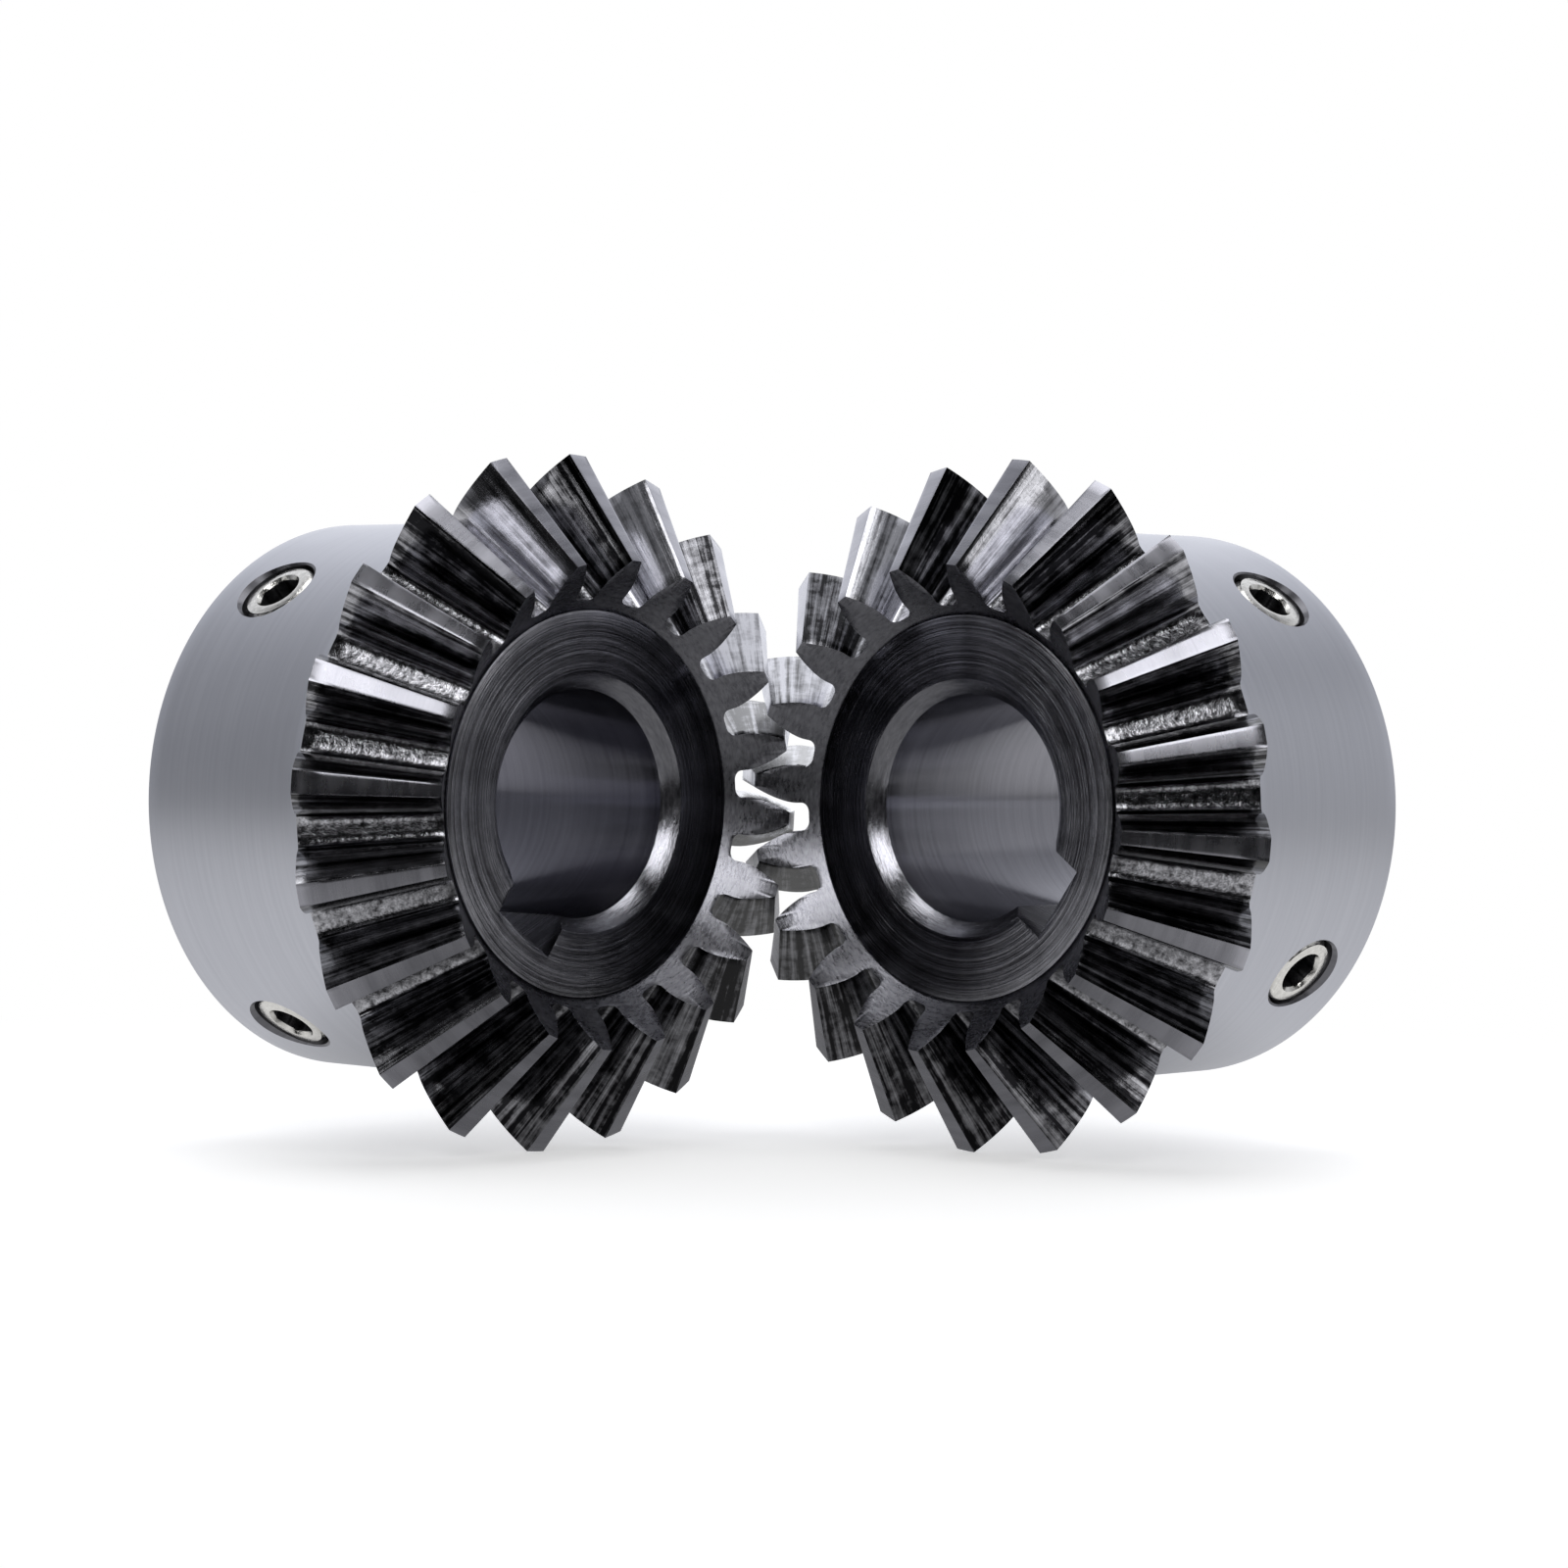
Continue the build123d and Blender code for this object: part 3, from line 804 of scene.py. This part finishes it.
def make_materials():
    """Each finish by name. Its two colours are the darkest and the lightest it gets."""
    return {
        "flank_a": planed_steel("a", (0.015, 0.015, 0.017), (0.60, 0.60, 0.64), (0.10, 0.26)),
        "flank_b": planed_steel("b", (0.015, 0.015, 0.017), (0.60, 0.60, 0.64), (0.10, 0.26)),
        "root": grainy_steel("root_steel", (0.02, 0.02, 0.022), (0.62, 0.62, 0.66), (0.12, 0.26)),
        "land": turned_steel("land_steel", (0.26, 0.26, 0.29), (0.50, 0.50, 0.55), (0.20, 0.34),
                             along=7.0, depth=0.004),
        "toe": turned_steel("toe_steel", (0.14, 0.14, 0.16), (0.44, 0.44, 0.48), (0.22, 0.36),
                            along=4.0, around=2.0, depth=0.012, anisotropy=0.0),
        "cone": turned_steel("cone_steel", (0.30, 0.30, 0.33), (0.46, 0.46, 0.50), (0.16, 0.28)),
        "hub": turned_steel("hub_steel", (0.46, 0.47, 0.52), (0.54, 0.55, 0.60), (0.38, 0.44),
                            anisotropy=0.2),
        "front": turned_steel("front_steel", (0.03, 0.03, 0.034), (0.46, 0.46, 0.50), (0.08, 0.16),
                              along=9.0, around=0.04, depth=0.030, anisotropy=0.2, spread=0.16),
        "mouth": turned_steel("mouth_steel", (0.26, 0.26, 0.29), (0.50, 0.50, 0.54), (0.16, 0.28),
                              around=1.0, depth=0.020, anisotropy=0.0),
        # Both bores are one steel drawn as a lit and a shaded copy: gear b's is painted darker as shade, gear a's
        # lighter
        "bore_a": turned_steel("bore_steel_a", (0.24, 0.24, 0.27), (0.38, 0.38, 0.42), (0.20, 0.26),
                               anisotropy=1.0),
        "bore_b": turned_steel("bore_steel_b", (0.14, 0.14, 0.17), (0.24, 0.24, 0.28), (0.20, 0.26),
                               anisotropy=1.0),
        # The keyway's faces are drawn near black: painted shade in the slot
        "keyway": turned_steel("keyway_steel", (0.05, 0.05, 0.055), (0.14, 0.14, 0.16), (0.22, 0.3)),
        "back": turned_steel("back_steel", (0.40, 0.40, 0.44), (0.54, 0.54, 0.58), (0.20, 0.30),
                             along=2.4, depth=0.006),
        # Rounded edges: worn bare metal, and also drawn near white as a painted highlight
        "edge": grainy_steel("edge_steel", (0.35, 0.35, 0.37), (0.96, 0.96, 0.98), (0.14, 0.30)),
        # The screw holes' walls are drawn much darker than the hub: painted shade in the recess round each screw
        "hole": turned_steel("hole_steel", (0.10, 0.10, 0.11), (0.22, 0.22, 0.24), (0.25, 0.4)),
        "screw": grainy_steel("screw_nickel", (0.58, 0.57, 0.55), (0.80, 0.79, 0.76), (0.16, 0.28)),
        # The screw sockets are drawn near black: painted shade in the hollow
        "socket": grainy_steel("socket_steel", (0.03, 0.03, 0.032), (0.07, 0.07, 0.075), (0.40, 0.6)),
        "washer_a": turned_steel("washer_steel_a", (0.50, 0.50, 0.53), (0.62, 0.62, 0.66), (0.18, 0.28),
                                 axis="X"),
        "washer_b": turned_steel("washer_steel_b", (0.50, 0.50, 0.53), (0.62, 0.62, 0.66), (0.18, 0.28),
                                 axis="Y"),
    }


def add_object(materials):
    """Every piece of both shafts, each on its own body."""
    for letter in ("a", "b"):
        gear = build_gear(letter, materials)
        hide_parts(f"gear_{letter}")
        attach(gear, f"gear_{letter}")
        for kind in SCREW_LENGTHS:
            screw = build_screw(letter, kind, materials)
            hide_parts(f"set_screw_{letter}_{kind}")
            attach(screw, f"screw_{letter}_{kind}")
        washer = frame["nodes"][f"thrust_washer_{letter}"]
        washer.data.materials.clear()
        washer.data.materials.append(materials[f"washer_{letter}"])


# ---------------------------------------------------------------- studio

# The camera looks at the meshing teeth from the side that both gears' small ends face
CAMERA_DISTANCE = 265.95
CAMERA_ASIDE = -8.33
CAMERA_RISE = 8.12
CAMERA_YAW = math.radians(1.816)
CAMERA_PITCH = math.radians(-1.398)
CAMERA_ROLL = math.radians(0.693)
CAMERA_LENS = 104.43
CAMERA_SENSOR = 36.0
CAMERA_NEAR = 10.0

# The floor reaches further behind the object than in front of it
FLOOR_RADIUS = 400.0
FLOOR_IN_FRONT = 125.0
FLOOR_GAP = 0.15
FLOOR_GLOW = 0.45
FLOOR_PAPER = (0.88, 0.88, 0.88, 1)
FLOOR_ROUGHNESS = 0.9
FLOOR_FADE = (55.0, 130.0)
DISC_SEGMENTS = 128

# What the steel mirrors from below: a card that is dim in a strip between the two shafts, a painted shadow of the
# gears on the table
CARD_RADIUS = 700.0
CARD_IN_FRONT = 60.0
CARD_LEVELS = (0.84, 0.36)
CARD_FALLS_OVER = (60.0, 300.0)
CARD_PAINTED_SHADOW = 0.28
CARD_PAINTED_SHADOW_EDGE = (18.0, 36.0)

# The room's light from behind the hubs, at 0, round to the side that the small ends face, at 1
ROOM_STOPS = ((0.0, 1.0), (0.22, 0.50), (0.375, 0.28), (0.5, 0.18), (0.62, 0.035), (0.75, 0.007))
ROOM_STRENGTH = 1.55
ROOM_TINT = (0.97, 0.985, 1.03)

# Soft lamps: name, place, target, width, height and radiance
SOFTBOXES = (
    ("top_softbox", (0, 0, 330), (10, 10, 0), 220, 220, 2.2),
    ("front_lamp", (-235, -235, 224), (0, 0, 0), 150, 220, 3.4),
    ("side_softbox", (350, -350, 60), (0, 0, 0), 500, 400, 0.25),
    ("strip_lamp", (150, -432, 200), (0, 0, 0), 110, 160, 1.6),
    ("strip_lamp", (-432, 150, 200), (0, 0, 0), 110, 160, 1.6),
)


def add_camera():
    """The camera at its fitted place, turned by yaw, then pitch, then roll."""
    ahead = Vector((1, 1, 0)).normalized()
    right = Vector((1, -1, 0)).normalized()
    up = Vector((0, 0, 1))
    place = -CAMERA_DISTANCE * ahead + CAMERA_ASIDE * right + CAMERA_RISE * up
    yawed = ahead * math.cos(CAMERA_YAW) + right * math.sin(CAMERA_YAW)
    right = right * math.cos(CAMERA_YAW) - ahead * math.sin(CAMERA_YAW)
    pitched = yawed * math.cos(CAMERA_PITCH) + up * math.sin(CAMERA_PITCH)
    up = up * math.cos(CAMERA_PITCH) - yawed * math.sin(CAMERA_PITCH)
    rolled_right = right * math.cos(CAMERA_ROLL) + up * math.sin(CAMERA_ROLL)
    rolled_up = up * math.cos(CAMERA_ROLL) - right * math.sin(CAMERA_ROLL)
    data = bpy.data.cameras.new("camera")
    data.lens = CAMERA_LENS
    data.sensor_width = CAMERA_SENSOR
    data.clip_start = CAMERA_NEAR * MM
    camera = bpy.data.objects.new("camera", data)
    turned = Matrix((rolled_right, rolled_up, -pitched)).transposed().to_4x4()
    camera.matrix_world = Matrix.Translation(place * MM) @ turned
    bpy.context.scene.collection.objects.link(camera)
    bpy.context.scene.camera = camera


def add_softbox(name, place, target, width, height, radiance):
    """A rectangular lamp, aimed at a target. Places and sizes in millimetres."""
    light = bpy.data.lights.new(name, "AREA")
    light.shape = "RECTANGLE"
    light.size = width * MM
    light.size_y = height * MM
    light.energy = radiance * math.pi * width * height * MM**2
    lamp = bpy.data.objects.new(name, light)
    lamp.location = Vector(place) * MM
    lamp.rotation_euler = (Vector(place) - Vector(target)).to_track_quat("Z", "Y").to_euler()
    bpy.context.scene.collection.objects.link(lamp)


def add_disc(name, radius, in_front):
    """A round sheet just under the teeth, whose near edge is a given distance in front."""
    work = bmesh.new()
    bmesh.ops.create_circle(work, cap_ends=True, segments=DISC_SEGMENTS, radius=radius * MM)
    mesh = bpy.data.meshes.new(name)
    work.to_mesh(mesh)
    work.free()
    disc = bpy.data.objects.new(name, mesh)
    away = (radius - in_front) / math.sqrt(2) * MM
    disc.location = (away, away, cad_bounds[0].z - FLOOR_GAP * MM)
    bpy.context.scene.collection.objects.link(disc)
    return disc


def add_bounce_card():
    """A glowing sheet that only the steel mirrors, dim far out and dim in a middle strip where a shadow of the
    gears is painted into its glow.
    """
    card = add_disc("bounce_card", CARD_RADIUS, CARD_IN_FRONT)
    card.visible_camera = False
    card.visible_diffuse = False
    card.visible_shadow = False
    sheet = Sheet("bounce_card")
    geometry = sheet.tree.nodes.new("ShaderNodeNewGeometry")
    place = sheet.scaled(geometry.outputs["Position"], 1 / MM)
    near = sheet.vector("LENGTH", place)
    aside = Vector((1, -1, 0)).normalized()
    from_middle = sheet.maths("ABSOLUTE", sheet.vector("DOT_PRODUCT", place, aside))
    level = sheet.between(near, *CARD_LEVELS, source=CARD_FALLS_OVER)
    # Painted shadow: the card's glow is dimmed in a strip between the shafts, where the gears would shade the
    # table
    shade = sheet.between(from_middle, CARD_PAINTED_SHADOW, 1.0, source=CARD_PAINTED_SHADOW_EDGE)
    glow = sheet.node("ShaderNodeEmission", {"Strength": sheet.maths("MULTIPLY", level, shade)})
    sheet.tree.links.new(glow, sheet.tree.nodes["Material Output"].inputs["Surface"])
    card.data.materials.append(sheet.material)


def add_floor():
    """A pale sheet under the teeth, lit through from below and fading to white far out."""
    floor = add_disc("floor", FLOOR_RADIUS, FLOOR_IN_FRONT)
    floor.visible_glossy = False
    floor.visible_shadow = False
    material = bpy.data.materials.new("floor_paper")
    material.use_nodes = True
    tree = material.node_tree
    shader = tree.nodes["Principled BSDF"]
    shader.inputs["Base Color"].default_value = FLOOR_PAPER
    shader.inputs["Roughness"].default_value = FLOOR_ROUGHNESS
    shader.inputs["Emission Color"].default_value = (1, 1, 1, 1)
    shader.inputs["Emission Strength"].default_value = FLOOR_GLOW
    geometry = tree.nodes.new("ShaderNodeNewGeometry")
    length = tree.nodes.new("ShaderNodeVectorMath")
    length.operation = "LENGTH"
    fade = tree.nodes.new("ShaderNodeMapRange")
    fade.interpolation_type = "SMOOTHSTEP"
    fade.inputs["From Min"].default_value = FLOOR_FADE[0] * MM
    fade.inputs["From Max"].default_value = FLOOR_FADE[1] * MM
    white = tree.nodes.new("ShaderNodeEmission")
    mixed = tree.nodes.new("ShaderNodeMixShader")
    tree.links.new(geometry.outputs["Position"], length.inputs[0])
    tree.links.new(length.outputs["Value"], fade.inputs["Value"])
    tree.links.new(fade.outputs[0], mixed.inputs[0])
    tree.links.new(shader.outputs[0], mixed.inputs[1])
    tree.links.new(white.outputs[0], mixed.inputs[2])
    tree.links.new(mixed.outputs[0], tree.nodes["Material Output"].inputs["Surface"])
    floor.data.materials.append(material)


def add_surroundings():
    """A white room that falls off to dark on the side that the gears' small ends face."""
    world = bpy.data.worlds.new("studio")
    bpy.context.scene.world = world
    world.use_nodes = True
    tree = world.node_tree
    background = tree.nodes["Background"]
    coordinates = tree.nodes.new("ShaderNodeTexCoord")
    facing = tree.nodes.new("ShaderNodeVectorMath")
    facing.operation = "DOT_PRODUCT"
    facing.inputs[1].default_value = Vector((-1, -1, 0)).normalized()
    tree.links.new(coordinates.outputs["Generated"], facing.inputs[0])
    ramp = tree.nodes.new("ShaderNodeValToRGB")
    background.inputs["Strength"].default_value = ROOM_STRENGTH
    while len(ramp.color_ramp.elements) < len(ROOM_STOPS):
        ramp.color_ramp.elements.new(0.5)
    for element, (position, level) in zip(ramp.color_ramp.elements, ROOM_STOPS):
        element.position = position
        element.color = (*(level * part for part in ROOM_TINT), 1)
    shifted = tree.nodes.new("ShaderNodeMapRange")
    shifted.inputs["From Min"].default_value = -1.0
    tree.links.new(facing.outputs["Value"], shifted.inputs["Value"])
    tree.links.new(shifted.outputs[0], ramp.inputs[0])
    seen = tree.nodes.new("ShaderNodeLightPath")
    mixed = tree.nodes.new("ShaderNodeMixShader")
    backdrop = tree.nodes.new("ShaderNodeBackground")
    backdrop.inputs["Color"].default_value = (1, 1, 1, 1)
    tree.links.new(ramp.outputs[0], background.inputs["Color"])
    tree.links.new(seen.outputs["Is Camera Ray"], mixed.inputs[0])
    tree.links.new(background.outputs[0], mixed.inputs[1])
    tree.links.new(backdrop.outputs[0], mixed.inputs[2])
    tree.links.new(mixed.outputs[0], tree.nodes["World Output"].inputs["Surface"])


def add_studio():
    add_camera()
    add_floor()
    add_bounce_card()
    add_surroundings()
    for softbox in SOFTBOXES:
        add_softbox(*softbox)
    bpy.context.scene.view_settings.view_transform = "Standard"


add_object(make_materials())
add_studio()
